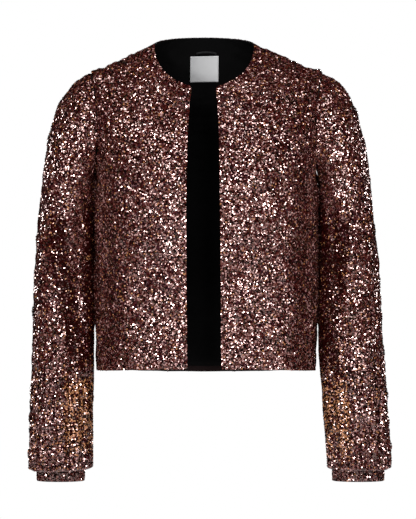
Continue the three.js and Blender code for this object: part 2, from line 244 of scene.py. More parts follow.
# Small soft puckers all over the cloth: wave length and height in mm, direction in degrees, phase
puckers = [
    {"length": 47, "height": 0.66, "turn": 20, "phase": 0.3},
    {"length": 34, "height": 0.48, "turn": 76, "phase": 1.9},
    {"length": 63, "height": 0.8, "turn": 131, "phase": 4.0},
    {"length": 27, "height": 0.28, "turn": 52, "phase": 2.2},
    {"length": 39, "height": 0.46, "turn": 163, "phase": 5.1},
]


def puckered(across, down, shift):
    # across and down are distances over the cloth, and shift makes one panel unlike the next
    total = 0
    for wave in puckers:
        a = math.radians(wave["turn"])
        run = across * math.cos(a) + down * math.sin(a)
        total = total + wave["height"] * np.sin(2 * np.pi * run / wave["length"] + wave["phase"] + shift)
    return total


# Soft troughs and ridges in the body: where each begins and ends as (angle, level), width in degrees, depth
bodyFolds = {
    "front": [
        {"from": (-82, 2.9), "to": (-52, 3.9), "width": 5, "depth": -2.6},
        {"from": (82, 2.9), "to": (55, 3.8), "width": 5, "depth": -2.4},
        {"from": (-66, 0), "to": (-60, 2.7), "width": 8, "depth": -2.6},
        {"from": (-40, 0), "to": (-45, 2.1), "width": 9, "depth": 2.2},
        {"from": (-24, 0.2), "to": (-28, 1.7), "width": 6, "depth": -1.6},
        {"from": (62, 0), "to": (58, 2.5), "width": 7, "depth": -2.4},
        {"from": (41, 0), "to": (46, 2.3), "width": 9, "depth": 2},
        {"from": (25, 0), "to": (22, 1.5), "width": 6, "depth": -1.8},
    ],
    "back": [
        {"from": (150, 0), "to": (146, 2.4), "width": 7, "depth": -3.2},
        {"from": (171, 0), "to": (174, 2.0), "width": 8, "depth": 2.6},
        {"from": (196, 0), "to": (192, 2.3), "width": 6, "depth": -2.8},
        {"from": (222, 0), "to": (216, 2.7), "width": 8, "depth": 2.8},
        {"from": (104, 2.6), "to": (132, 3.6), "width": 5, "depth": -2.8},
        {"from": (256, 2.6), "to": (229, 3.5), "width": 5, "depth": -2.6},
        {"from": (160, 1.6), "to": (205, 1.5), "width": 4, "depth": -1.8},
    ],
}


def troughs(u, v, folds, vScale):
    # vScale turns a step of v into degrees of u, so that a fold has the same width along and across
    overrun = 0.2  # how far a fold fades out past its ends, as a share of its length
    total = np.zeros(np.broadcast(u, v).shape)
    for fold in folds:
        a = np.array([fold["from"][0], fold["from"][1] * vScale])
        b = np.array([fold["to"][0], fold["to"][1] * vScale])
        run = b - a
        t = ((u - a[0]) * run[0] + (v * vScale - a[1]) * run[1]) / (run @ run)
        t = np.clip(t, -overrun, 1 + overrun)
        offU, offV = u - a[0] - t * run[0], v * vScale - a[1] - t * run[1]
        fade = np.sin(np.pi * np.clip((t + overrun) / (1 + 2 * overrun), 0, 1)) ** 0.7
        fromHem = fold["from"][1] == 0
        fade = np.where(fromHem & (t < 0.5), 1.0, fade)
        total = total + fold["depth"] * fade * np.exp(-(offU ** 2 + offV ** 2) / fold["width"] ** 2)
    return total


# Where a sleeve hangs against the body's side both swell a little, so that the two cloths touch. Heights and
# swells are in mm, widths in degrees.
contact = {"low": -440, "high": -212, "soft": 16, "body": 1.5, "bodyWidth": 13,
           "sleeve": 1.7, "sleeveWidth": 24, "sleeveStart": 0.03,
           "underarm": {"low": -252, "high": -188, "soft": 22, "push": 4.2},
           "rightSide": {"low": -560, "high": -398, "soft": 22, "push": 1.5}}

# How far the body's cloth runs for a degree and for a level, and how many degrees are as far as a level. The
# puckers fade at the neck and behind the label, and the folds at the side seams.
bodyRun = {"degree": 2.7, "level": 95, "degreesToLevel": 38, "seamWidth": 5, "neckFade": 0.5,
           "labelWidth": 35, "labelFrom": 5, "labelFade": 1.5}


def bodyDrape(angle, level):
    angle = np.mod(angle + 90, 360) - 90
    front = troughs(angle, level, bodyFolds["front"], bodyRun["degreesToLevel"])
    back = troughs(angle, level, bodyFolds["back"], bodyRun["degreesToLevel"])
    ripple = puckered(angle * bodyRun["degree"], level * bodyRun["level"], 0)
    ripple = ripple * np.clip((neck - level) / bodyRun["neckFade"], 0, 1)
    behindLabel = np.exp(-((angle - 180) / bodyRun["labelWidth"]) ** 2)
    ripple = ripple * (1 - behindLabel * np.clip((level - bodyRun["labelFrom"]) / bodyRun["labelFade"], 0, 1))
    atSide = np.minimum(np.abs(np.abs(angle) - 90), np.abs(angle - 270))
    z = through(torso["sideZ"], level)
    touch = contact["body"] * within(z, contact["low"], contact["high"], contact["soft"])
    near = contact["rightSide"]
    onRight = np.sin(np.radians(angle)) < 0
    touch = touch + np.where(onRight, near["push"], 0) * within(z, near["low"], near["high"], near["soft"])
    touch = touch * np.exp(-(atSide / contact["bodyWidth"]) ** 2)
    folds = np.where(np.abs(angle) < 90, front, back) * np.clip(atSide / bodyRun["seamWidth"], 0, 1)
    return folds + ripple + touch


def torsoSurface(angle, level):
    base = torsoForm(angle, level)
    safe = np.clip(level, 0.01, neck - 0.02)
    normal = normalOf(torsoForm, angle, safe, 0.4, 0.01, 1)
    return base + normal * bodyDrape(angle, level)[..., None]


def armholeOpening(level, face):
    half = (shoulderTip - underarm) / 2
    height = (np.asarray(level, float) - underarm - half) / half
    return armholeReach[face] * np.sqrt(np.clip(1 - height * height, 0, 1))


def edgeAngle(side, level):
    into = np.clip(1 - (neck - level) / frontCorner["levels"], 0, 1)
    x = through(frontEdge[side], level) + frontCorner["reach"] * (1 - np.sqrt(1 - into * into))
    share = (x - side * through(torso["shift"], level)) / through(torso["halfWidth"], level)
    return np.degrees(np.arcsin(np.clip(share, 0, 1) ** (through(torso["square"], level) / 2)))


def armholePoint(side, turn):
    across = np.sin(np.radians(turn))
    reach = np.where(across >= 0, armholeReach["front"], armholeReach["back"])
    half = (shoulderTip - underarm) / 2
    level = underarm + half * (1 + np.cos(np.radians(turn)))
    return torsoForm(side * (90 - reach * across), level)


def oval(side, outer, inner, middleY, depth, z, tilt, turn):
    c, s = np.cos(np.radians(turn)), np.sin(np.radians(turn))
    power = 2 / sleeveRoundness
    return np.stack([
        side * ((outer + inner) / 2 + (outer - inner) / 2 * signedPower(c, power)),
        middleY - depth * signedPower(s, power),
        z + tilt * c,
    ], -1)


def sleeveRing(side, along, turn):
    column = {name: through(sleeve[name], along) for name in ("z", "middleY", "depth", "tilt")}
    return oval(side, through(sleeve["outer"][side], along), through(sleeve["inner"][side], along),
                column["middleY"], column["depth"], column["z"], column["tilt"], turn)


def sleeveHeadForm(side, t, turn):
    c, s = np.cos(np.radians(turn)), np.sin(np.radians(turn))
    over = (1 + c) / 2
    start = armholePoint(side, turn) + np.array([side * 0.4, 0, 0])
    slope = 2 * sleeveHead["sideSlope"] * (1 - over) + sleeveHead["topSlope"] * over
    leave = unit(np.stack([side * np.ones_like(s), -sleeveHead["bulge"] * s, -slope], -1))
    leave = leave * (sleeveHead["leaveUnder"] * (1 - over) + sleeveHead["leaveTop"] * over)[..., None]
    end = sleeveRing(side, np.zeros_like(s), turn)
    arrive = unit(sleeveRing(side, np.full_like(s, 0.01), turn) - end)
    arrive = arrive * -(sleeveHead["arriveUnder"] * (1 - over) + sleeveHead["arriveTop"] * over)[..., None]
    t = np.asarray(t)[..., None]
    return ((1 - t) ** 3 * start + 3 * (1 - t) ** 2 * t * (start + leave)
            + 3 * (1 - t) * t * t * (end + arrive) + t ** 3 * end)


# Along a sleeve: 0 at the armhole, 1 at the last ring, then straight down, the turn, and the run to the cuff
turnStart, turnEnd, sleeveEnd = 1.013, 1.033, 1.05


def sleeveForm(side, whole, turn):
    whole, turn = np.broadcast_arrays(np.asarray(whole, float), np.asarray(turn, float))
    last = len(sleeve["z"]) - 1
    share = sleeveHead["share"]
    head = sleeveHeadForm(side, np.clip(whole / share, 0, 1), turn)
    along = np.clip((whole - share) / (1 - share), 0, 1) * last
    arm = sleeveRing(side, along, turn)
    bend = np.radians(90) * np.clip((whole - turnStart) / (turnEnd - turnStart), 0, 1)
    inward = np.clip((whole - turnEnd) / (sleeveEnd - turnEnd), 0, 1)
    turned = blouseTurn["radius"] * (1 - np.cos(bend))
    lip = cuff["thickness"] / 2
    blend = lambda a, b: a * (1 - inward) + b * inward
    drop = np.clip((whole - 1) / (turnStart - 1), 0, 1)
    lowZ = sleeve["z"][-1] + (blouseTurn["startZ"] - sleeve["z"][-1]) * drop
    lowZ = lowZ - drop * (1 - inward) * blouseTurn["sag"][side] * (1 + np.cos(np.radians(turn))) / 2
    under = oval(side,
                 blend(sleeve["outer"][side][-1] - turned, cuff["outer"][side] - lip),
                 blend(sleeve["inner"][side][-1] + turned, cuff["inner"][side] + lip),
                 blend(sleeve["middleY"][-1], cuff["middleY"]),
                 blend(sleeve["depth"][-1] - turned, cuff["depth"] - lip),
                 lowZ - blouseTurn["radius"] * np.sin(bend), 0, turn)
    inHead, inTurn = (whole < share)[..., None], (whole > 1)[..., None]
    return np.where(inHead, head, np.where(inTurn, under, arm))


# Soft folds in the sleeves, as (turn, share of the sleeve). The first is the long one inside the elbow.
sleeveFolds = {
    1: [
        {"from": (128, 0.28), "to": (110, 0.74), "width": 17, "depth": -6.5},
        {"from": (160, 0.5), "to": (60, 0.58), "width": 9, "depth": -2.4},
        {"from": (150, 0.64), "to": (70, 0.61), "width": 7, "depth": -2.0},
        {"from": (95, 0.9), "to": (15, 0.915), "width": 6, "depth": -2.6},
        {"from": (40, 0.32), "to": (52, 0.6), "width": 14, "depth": 1.8},
        {"from": (250, 0.36), "to": (238, 0.72), "width": 15, "depth": -4},
        {"from": (200, 0.55), "to": (300, 0.6), "width": 8, "depth": -2.6},
        {"from": (210, 0.68), "to": (290, 0.66), "width": 8, "depth": -2},
        {"from": (300, 0.45), "to": (318, 0.9), "width": 13, "depth": 2},
    ],
    -1: [
        {"from": (130, 0.3), "to": (112, 0.76), "width": 18, "depth": -7},
        {"from": (158, 0.53), "to": (66, 0.6), "width": 9, "depth": -2.6},
        {"from": (165, 0.69), "to": (80, 0.665), "width": 8, "depth": -2.2},
        {"from": (60, 0.82), "to": (120, 0.845), "width": 6, "depth": -1.6},
        {"from": (38, 0.34), "to": (48, 0.62), "width": 14, "depth": 1.8},
        {"from": (252, 0.34), "to": (240, 0.7), "width": 15, "depth": -4},
        {"from": (198, 0.57), "to": (296, 0.63), "width": 8, "depth": -2.6},
        {"from": (300, 0.5), "to": (312, 0.92), "width": 13, "depth": 2},
    ],
}
# How far a sleeve's cloth runs for a degree and for its whole length, and how many degrees make that length.
# The folds end above the gathers, and folds and puckers are held down where the body lies against the sleeve.
sleeveRun = {"degree": 0.95, "whole": 640, "degreesToWhole": 300, "foldEnd": 0.93, "foldFade": 0.07,
             "gathersFrom": 0.8, "heldDown": 0.8, "heldWidth": 22}


def sleeveDrape(side, whole, turn):
    last = len(sleeve["z"]) - 1
    share = sleeveHead["share"]
    along = np.clip((whole - share) / (1 - share), 0, 1) * last
    a, b = gathers["phases"][side]
    rad = np.radians(turn)
    uneven = 1 + gathers["uneven"][0] * np.sin(3 * rad + a) + gathers["uneven"][1] * np.sin(5 * rad + b)
    fade = np.clip((turnEnd - whole) / (turnEnd - turnStart), 0, 1)
    height = through(sleeve["gather"], along)
    gather = height * np.cos(gathers["count"] * rad + gathers["sway"] * np.sin(2 * rad + b)) * uneven
    fine = gathers["fineShare"] * height * np.cos(gathers["fineCount"] * rad + a)
    folds = troughs(np.mod(turn, 360), whole, sleeveFolds[side], sleeveRun["degreesToWhole"])
    folds = folds * np.clip(1 - (whole - sleeveRun["foldEnd"]) / sleeveRun["foldFade"], 0, 1)
    offInner = np.mod(turn, 360) - 180
    clearOfBody = 1 - sleeveRun["heldDown"] * np.exp(-(offInner / sleeveRun["heldWidth"]) ** 2)
    z = sleeveForm(side, whole, turn)[..., 2]
    hollow = contact["underarm"]
    touch = contact["sleeve"] * within(z, contact["low"], contact["high"], contact["soft"])
    touch = touch + hollow["push"] * within(z, hollow["low"], hollow["high"], hollow["soft"])
    near = contact["rightSide"]
    if side < 0:
        touch = touch + near["push"] * within(z, near["low"], near["high"], near["soft"])
    touch = touch * np.exp(-(offInner / contact["sleeveWidth"]) ** 2)
    touch = touch * np.clip(whole / contact["sleeveStart"], 0, 1)
    ripple = puckered(offInner * sleeveRun["degree"], whole * sleeveRun["whole"], side)
    touch = touch + clearOfBody * fade * ripple
    gathered = (gather + fine) * fade * np.where(whole > sleeveRun["gathersFrom"], 1, clearOfBody)
    return gathered + folds * clearOfBody + touch


def sleeveSurface(side):
    def surface(turn, whole):
        base = sleeveForm(side, whole, turn)
        safe = np.clip(whole, 0.01, 0.995)
        normal = normalOf(lambda u, v: sleeveForm(side, v, u), turn, safe, 1.5, 0.004, side)
        flatten = np.clip((whole - 0.98) / 0.02, 0, 1)[..., None]
        normal = unit(normal * np.array([1, 1, 0]) * flatten + normal * (1 - flatten))
        return base + normal * sleeveDrape(side, whole, turn)[..., None]
    return surface


cuffRibs = {"count": 34, "height": 0.8, "uneven": 0.3, "sink": 0.6, "lowShare": 0.5, "belly": 0.5}


def cuffSurface(side):
    def surface(turn, drop):  # drop from 0 at the band's top to 1 at its folded lower edge
        turn, drop = np.broadcast_arrays(np.asarray(turn, float), np.asarray(drop, float))
        rad = np.radians(turn)
        uneven = 1 - cuffRibs["uneven"] + cuffRibs["uneven"] * np.sin(5 * rad + side)
        pucker = cuffRibs["height"] * (np.cos(cuffRibs["count"] * rad) * uneven - cuffRibs["sink"])
        pucker = pucker * (1 - cuffRibs["lowShare"] * drop)
        belly = cuffRibs["belly"] * np.sin(np.pi * drop)
        return oval(side, cuff["outer"][side] + pucker + belly, cuff["inner"][side] - pucker - belly,
                    cuff["middleY"], cuff["depth"] + pucker + belly,
                    cuff["topZ"] - cuff["height"] * drop, 0, turn)
    return surface


# Meshes
def addObject(name, points, faces, materials, smooth=True, indices=None):
    mesh = bpy.data.meshes.new(name)
    mesh.from_pydata((np.asarray(points) * mm).tolist(), [], faces)
    for finish in materials:
        mesh.materials.append(finish.material)
    if indices is not None:
        mesh.polygons.foreach_set("material_index", indices.astype(np.int32))
    mesh.polygons.foreach_set("use_smooth", np.full(len(mesh.polygons), smooth))
    mesh.update()
    item = bpy.data.objects.new(name, mesh)
    bpy.context.scene.collection.objects.link(item)
    return item


def clothWall(name, points, normals, depth, thickness, closed, finish):
    # A thin closed wall: points and normals are grids of rows. closed joins each row's ends.
    rows, columns = points.shape[:2]
    outer = points - normals * depth
    inner = points - normals * (depth + thickness)
    vertices = np.concatenate([outer.reshape(-1, 3), inner.reshape(-1, 3)])
    number = np.arange(rows * columns).reshape(rows, columns)
    steps = columns if closed else columns - 1
    here, there = np.arange(steps), (np.arange(steps) + 1) % columns
    a, b = number[:-1][:, here], number[:-1][:, there]
    c, d = number[1:][:, there], number[1:][:, here]
    quads = np.stack([a, b, c, d], -1).reshape(-1, 4)
    inside = quads[:, ::-1] + rows * columns
    rims = []

    def rim(line, flip):
        pairs = np.stack([line[:-1], line[1:]], -1)
        edge = np.concatenate([pairs[:, ::-1], pairs + rows * columns], -1)
        rims.append(edge[:, ::-1] if flip else edge)

    ring = lambda row: np.append(number[row], number[row][0]) if closed else number[row]
    rim(ring(0), False)
    rim(ring(-1), True)
    if not closed:
        rim(number[:, 0], True)
        rim(number[:, -1], False)
    faces = np.concatenate([quads, inside, *rims])
    return addObject(name, vertices, faces.tolist(), [finish])


# Finishes
def knitFinish(name, colour, pitch, depth):
    # Stocking-stitch knit: rows of small loops over the piece's own coordinates
    finish = Finish(name, Roughness=0.9, Specular_IOR_Level=0.08)
    place = finish.place()
    cells = finish.node("ShaderNodeTexVoronoi", {"feature": "F1"},
                        {"Vector": place, "Scale": 1 / (pitch * mm)}, "Distance")
    patch = finish.node("ShaderNodeTexNoise", {}, {"Vector": place, "Scale": 38.0, "Detail": 3.0}, "Fac")
    finish.feed("Base Color", finish.ramp(patch, [0.45 * c for c in colour], colour, 0.2, 0.8))
    finish.bumpFrom(1 - cells * 0.8 + patch * 0.2, depth * mm)
    return finish


sequinGround = knitFinish("sequinGroundKnit", (0.012, 0.006, 0.006), 1.1, 0.5)
# The lining's near-zero colour is its own black, darkened further with painted shade of the jacket's inside
blackLining = knitFinish("blackLiningJersey", (0.0009, 0.0008, 0.0009), 0.8, 0.25)


def satinFinish():
    finish = Finish("labelSatin", Roughness=0.42, Sheen_Weight=0.2)
    place = finish.place()
    across, down = finish.bands(place, "X", 700.0), finish.bands(place, "Z", 420.0)
    cloud = finish.node("ShaderNodeTexNoise", {}, {"Vector": place, "Scale": 60.0, "Detail": 2.0}, "Fac")
    # Painted light: the satin grows paler across towards the wearer's left, where more light falls
    paintedLightAcross = finish.node("ShaderNodeSeparateXYZ", {}, {"Vector": place}, "X")
    toneWithPaintedLight = cloud * 0.3 + down * 0.1 + paintedLightAcross * 16 + 0.38  # paler towards the wearer's left
    finish.feed("Base Color", finish.ramp(toneWithPaintedLight, (0.30, 0.30, 0.305), (0.47, 0.47, 0.475)))
    finish.bumpFrom(across * 0.5 + down * 0.5, 0.06 * mm)
    return finish


def ribbonFinish():
    finish = Finish("blackRibbon", Roughness=0.6, Specular_IOR_Level=0.25)
    ribs = finish.bands(finish.place(), "X", 330.0)
    # The ribbon's near-zero colour is its own black, darkened further with painted shade of the jacket's
    # inside
    finish.feed("Base Color", finish.ramp(ribs, (0.001, 0.001, 0.001), (0.003, 0.003, 0.0035)))
    finish.bumpFrom(ribs, 0.15 * mm)
    return finish


labelSatin = satinFinish()
blackRibbon = ribbonFinish()
greyThread = Finish("greyThread", Base_Color=(0.42, 0.42, 0.43, 1), Roughness=0.6)

# The sequins' films, and how often each is sewn in each region of the garment
sequinTones = {
    # Painted shade: a dull, nearly black film for the shaded folds inside the sleeves, also sewn among the
    # bronze sequins
    "paintedShadeSequin": {"colour": (0.012, 0.0010, 0.0006), "roughness": 0.2,
                   "gloss": {"IOR": 1.45, "Specular_IOR_Level": 0.06},
                   "plain": 0, "paintedLightFront": 0, "lively": 0, "sleeveShade": 0.72, "bronzed": 0.27},
    "shadowSequin": {"colour": (0.005, 0.0006, 0.0005), "roughness": 0.07,
                     "plain": 0.25, "paintedLightFront": 0.17, "lively": 0.36, "sleeveShade": 0.04, "bronzed": 0.14},
    "umberSequin": {"colour": (0.050, 0.026, 0.014), "roughness": 0.12,
                    "plain": 0.09, "paintedLightFront": 0.09, "lively": 0.06, "sleeveShade": 0.04, "bronzed": 0.10},
    "plumSequin": {"colour": (0.050, 0.011, 0.017), "roughness": 0.10,
                   "plain": 0.08, "paintedLightFront": 0.09, "lively": 0.06, "sleeveShade": 0.03, "bronzed": 0.02},
    "wineSequin": {"colour": (0.027, 0.0026, 0.0018), "roughness": 0.075,
                   "plain": 0.20, "paintedLightFront": 0.15, "lively": 0.14, "sleeveShade": 0.08, "bronzed": 0.08},
    "burgundySequin": {"colour": (0.066, 0.0098, 0.0072), "roughness": 0.10,
                       "plain": 0.17, "paintedLightFront": 0.16, "lively": 0.13, "sleeveShade": 0.04, "bronzed": 0.07},
    "rosewoodSequin": {"colour": (0.13, 0.041, 0.032), "roughness": 0.17,
                       "plain": 0.14, "paintedLightFront": 0.19, "lively": 0.11, "sleeveShade": 0.02, "bronzed": 0.03},
    "bronzeSequin": {"colour": (0.38, 0.16, 0.063), "roughness": 0.22,
                     "plain": 0.02, "paintedLightFront": 0.02, "lively": 0.05, "sleeveShade": 0.03, "bronzed": 0.31},
    "paleRoseSequin": {"colour": (0.30, 0.155, 0.145), "roughness": 0.25,
                       "plain": 0.07, "paintedLightFront": 0.14, "lively": 0.13, "sleeveShade": 0.01, "bronzed": 0.02},
}
sequinGloss = {"IOR": 2.2, "Specular_Tint": (1, 0.69, 0.65, 1)}
sequinFilms = [Finish(name, Base_Color=(*film["colour"], 1), Roughness=film["roughness"],
                       **{**sequinGloss, **film.get("gloss", {})})
               for name, film in sequinTones.items()]
sequin = {"radius": 1.4, "sizes": (0.94, 1.05), "stand": 0.35, "standMore": 0.35, "tilt": 0.2, "bend": 0.12,
          "shingle": 0.08, "sides": 6}

# Rows of sequins: the pitch along a row, where a row starts and how far rows keep from a piece's end, in mm.
# Then, as shares of the pitch, how far apart rows are, where the first lies, how far every second row is moved
# along and how far chance moves a sequin along its row. drift moves it across, as a share of the piece.
rows = {"pitch": 2.45, "start": 0.1, "clearEnd": 0.2,
        "apart": 0.866, "first": 0.6, "stagger": 0.5, "jitter": 0.13, "drift": 0.0006}

# Painted shade inside each sleeve: the dark band along its fold, given by its middle's distance from the
# garment's middle at each height, in mm
sleeveShadeLine = {"z": [-480, -434, -387, -341, -294],
              1: [191, 187, 194, 204, 208], -1: [199, 205, 214, 224, 227],
              "low": -540, "high": -250, "soft": 40, "halfWidth": 18, "edge": 9}

# The other regions: from where to where they lie in mm, up and away from the middle, and how softly they end
regions = {
    "bronzed": {"z": (-652, -488, 40), "side": (150, 232, 22)},
    # Painted shade where each sleeve's inner edge hangs against the body
    "innerEdgeShade": {"z": (-520, -236, 44), "side": (150, 195, 12)},
    # Painted light: a paler mix where the mid and low fronts catch more light
    "paintedLightFront": {"z": (-600, -150, 90), "side": (0, 150, 40)},
    # Painted light: a paler mix on the body's sides beside the sleeves, which shade them
    "bodySideLight": {"z": (-560, -170, 40), "side": (146, 300, 14)},
}
# Painted light and shade: the lower sleeves take more pale and more dark sequins, at heights that differ
# between the sleeves
livelyHeights = {1: (-640, -430, 60), -1: (-700, -440, 80)}
facingFront = (-90, 5, 25)
sleeveFrom = 174
sleeveShadeShare, paintedLightOnRight = 0.94, 0.75


def regionWeights(points):
    # How far each sequin lies in each region, from its place on the garment
    x, y, z = points.T
    side = np.abs(x)
    onSleeve = side > sleeveFrom
    onFront = ~onSleeve & (y < 0)
    facing = within(y, *facingFront)

    def patch(name):
        return within(z, *regions[name]["z"]) * within(side, *regions[name]["side"])

    bronzed = np.where(onSleeve, patch("bronzed") * facing, 0)
    # Painted shade: dark sequins along the fold inside each sleeve and at its inner edge by the body
    middle = np.where(x > 0, np.interp(z, sleeveShadeLine["z"], sleeveShadeLine[1]),
                      np.interp(z, sleeveShadeLine["z"], sleeveShadeLine[-1]))
    band = within(side - middle, -sleeveShadeLine["halfWidth"], sleeveShadeLine["halfWidth"], sleeveShadeLine["edge"])
    band = band * within(z, sleeveShadeLine["low"], sleeveShadeLine["high"], sleeveShadeLine["soft"])
    sleeveShade = np.where(onSleeve, (1 - (1 - band) * (1 - patch("innerEdgeShade"))) * facing, 0)
    sleeveShade = sleeveShade * (1 - bronzed)
    # Painted light: the mid and low fronts and the body's sides take the paler mix, less of it on the wearer's
    # right
    paintedLightFront = np.where(onFront, patch("paintedLightFront"), 0)
    paintedLightFront = paintedLightFront * np.where(x > 0, 1, paintedLightOnRight)
    paintedLightFront = 1 - (1 - paintedLightFront) * (1 - np.where(onFront, patch("bodySideLight"), 0))
    lowEnd = np.where(x > 0, within(z, *livelyHeights[1]), within(z, *livelyHeights[-1]))
    lively = np.where(onSleeve, lowEnd * (1 - bronzed) * (1 - sleeveShade), 0)
    return {"bronzed": bronzed, "sleeveShade": sleeveShade * sleeveShadeShare, "paintedLightFront": paintedLightFront, "lively": lively}


def chooseTones(points):
    weights = regionWeights(points)
    sharesOf = lambda region: np.array([film[region] for film in sequinTones.values()])
    shares = np.tile(sharesOf("plain"), (len(points), 1))
    for region, weight in weights.items():
        shares = shares * (1 - weight[:, None]) + sharesOf(region) * weight[:, None]
    limits = np.cumsum(shares, 1) / shares.sum(1, keepdims=True)
    draw = luck.random(len(points))
    return (draw[:, None] > limits).sum(1).clip(0, len(sequinFilms) - 1)


def sewRows(surface, us, vs):
    # Rows of places at even spacing over a surface, at equal distances along every line of constant u
    u, v = np.meshgrid(us, vs)
    points = surface(u, v)
    pitch = rows["pitch"]
    steps = np.linalg.norm(np.diff(points, axis=0), axis=2)
    length = np.concatenate([np.zeros((1, len(us))), np.cumsum(steps, 0)])
    count = int(length[-1].max() / (pitch * rows["apart"]))
    levels = (np.arange(count) + rows["first"]) * pitch * rows["apart"]
    lines = np.full((count, len(us), 4), np.nan)
    for k in range(len(us)):
        inside = levels < length[-1, k] - rows["clearEnd"]
        for axis in range(3):
            lines[inside, k, axis] = np.interp(levels[inside], length[:, k], points[:, k, axis])
        lines[inside, k, 3] = np.interp(levels[inside], length[:, k], vs)
    found = []
    for row, line in enumerate(lines):
        there = ~np.isnan(line[:, 0])
        step = np.linalg.norm(np.diff(line[:, :3], axis=0), axis=1)
        step = np.where(there[1:] & there[:-1], step, 0)
        run = np.concatenate([[0], np.cumsum(np.nan_to_num(step))])
        if run[-1] < pitch:
            continue
        spots = np.arange(rows["stagger"] * (row % 2) * pitch + rows["start"], run[-1], pitch)
        spots = spots + luck.normal(0, rows["jitter"] * pitch, len(spots))
        column = np.interp(spots, run + np.arange(len(run)) * 1e-9, np.arange(len(run)))
        left = np.clip(np.floor(column).astype(int), 0, len(us) - 2)
        good = there[left] & there[left + 1]
        part = column - left
        values = line[left] * (1 - part[:, None]) + line[left + 1] * part[:, None]
        across = us[left] * (1 - part) + us[left + 1] * part
        found.append(np.column_stack([across[good], values[good, 3]]))
    places = np.concatenate(found)
    places[:, 1] += luck.normal(0, rows["drift"], len(places)) * (vs[-1] - vs[0])
    return places


def rowAlong(surface, u, v):
    # One row of places along a line on a surface, such as an edge or a seam
    u, v = np.broadcast_arrays(u, v)
    length = np.concatenate([[0], np.cumsum(np.linalg.norm(np.diff(surface(u, v), axis=0), axis=1))])
    spots = np.arange(0.4 * rows["pitch"], length[-1], rows["pitch"])
    return np.column_stack([np.interp(spots, length, u), np.interp(spots, length, v)])


def sequinDiscs(name, surface, places, du, dv, outward):
    # Small discs, each tilted a little by chance, lifted at one edge like a shingle and bent across it
    u, v = places.T
    centre = surface(u, v)
    normal = normalOf(surface, u, v, du, dv, outward)
    down = unit(np.array([0, 0, -1.0]) - normal * -normal[:, 2:3])
    side = np.cross(normal, down)
    lean = luck.normal(0, sequin["tilt"], (len(u), 2))
    facing = unit(normal + side * lean[:, :1] + down * (lean[:, 1:] - sequin["shingle"]))
    first = unit(np.cross(facing, side + 0.01 * down))
    second = np.cross(facing, first)
    lift = sequin["stand"] + luck.uniform(0, sequin["standMore"], len(u))
    centre = centre + normal * (lift - groundDepth)[:, None]
    spin = luck.uniform(0, 2 * np.pi, len(u))
    radius = sequin["radius"] * luck.uniform(*sequin["sizes"], len(u))
    corners = sequin["sides"]
    corner = spin[:, None] + np.arange(corners) * 2 * np.pi / corners
    bend = radius * luck.normal(0, sequin["bend"], len(u))
    crease = np.where(np.arange(corners) % (corners // 2) == 0, 0.5, -0.5)
    ring = (centre[:, None] + radius[:, None, None]
            * (np.cos(corner)[..., None] * first[:, None] + np.sin(corner)[..., None] * second[:, None])
            + (bend[:, None] * crease)[..., None] * facing[:, None])
    halves = np.array([[0, 1, 2, 3], [3, 4, 5, 0]])
    faces = np.arange(len(u))[:, None, None] * corners + halves
    tones = np.repeat(chooseTones(centre), len(halves))
    return addObject(name, ring.reshape(-1, 3), faces.reshape(-1, 4).tolist(), sequinFilms, False, tones)


def dress(piece, node):
    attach(piece, "root")
    if node:
        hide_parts(node)


# The body: one set of rows over the whole surface, then cut to each panel
bodyColumns = np.linspace(0, 360, 241)
bodyLevels = np.concatenate([np.linspace(0, 3, 70, endpoint=False), np.linspace(3, 9, 120)])
bodyPlaces = sewRows(torsoSurface, bodyColumns, bodyLevels)
hemRow, neckRow = 0.01, neck - 0.03  # the levels of the rows along the hem and the neckline
hemClear = 0.004  # no other row comes nearer to the hem
bodyPlaces = bodyPlaces[(bodyPlaces[:, 1] > hemClear) & (bodyPlaces[:, 1] < neckRow)]
fromMiddle = np.abs(np.mod(bodyPlaces[:, 0] + 180, 360) - 180)
isLeft = np.mod(bodyPlaces[:, 0], 360) < 180
edgeInset = 0.3  # degrees from an edge or seam to the middle of its sequins
seamInset = 0.1  # degrees from an edge or seam that the body's own rows keep clear
seamHalf = 0.05  # degrees from the middle of a seam to the cloth


def inFront(side):
    level = bodyPlaces[:, 1]
    mine = isLeft if side > 0 else ~isLeft
    low = edgeAngle(side, level) + edgeInset
    high = 90 - armholeOpening(level, "front") - seamInset
    return mine & (fromMiddle > low) & (fromMiddle < high)


def edgeRows(edge, face, side, start):
    # Rows along a panel's armhole and its open edge. edge gives the open edge's angle at a level.
    levels = np.linspace(hemRow, neck - 0.02, 500)
    hole = np.linspace(underarm, shoulderTip, 160)
    rim = (lambda v: side * (90 - armholeOpening(v, "front") - edgeInset)) if face == "front" else (
        lambda v: start + side * (armholeOpening(v, "back") + edgeInset))
    found = [rowAlong(torsoSurface, rim(hole), hole)]
    if edge:
        found.append(rowAlong(torsoSurface, edge(levels), levels))
    return found


def levelRow(low, high, level):
    return rowAlong(torsoSurface, np.linspace(low, high, 300), np.full(300, level))


def inBack():
    return fromMiddle > 90 + armholeOpening(bodyPlaces[:, 1], "back") + seamInset


def panelLevels(count):
    body = np.linspace(0, 3, count, endpoint=False)
    half = (shoulderTip - underarm) / 2
    hole = underarm + half * (1 - np.cos(np.linspace(0, np.pi, count)))
    shoulder = np.linspace(shoulderTip, neck - frontCorner["levels"], count // 3)[1:]
    corner = neck - frontCorner["levels"] * (1 - np.sin(np.linspace(0, np.pi / 2, 10)))[1:]
    return np.concatenate([body, hole, shoulder, corner])


def panelGrid(levels, low, high, columns):
    share = np.linspace(0, 1, columns)
    angle = low(levels)[:, None] * (1 - share) + high(levels)[:, None] * share
    level = np.broadcast_to(levels[:, None], angle.shape)
    points = torsoSurface(angle, level)
    safe = np.clip(level, 0.02, neck - 0.03)
    normals = normalOf(torsoSurface, angle, safe, 0.5, 0.02, 1)
    return points, normals


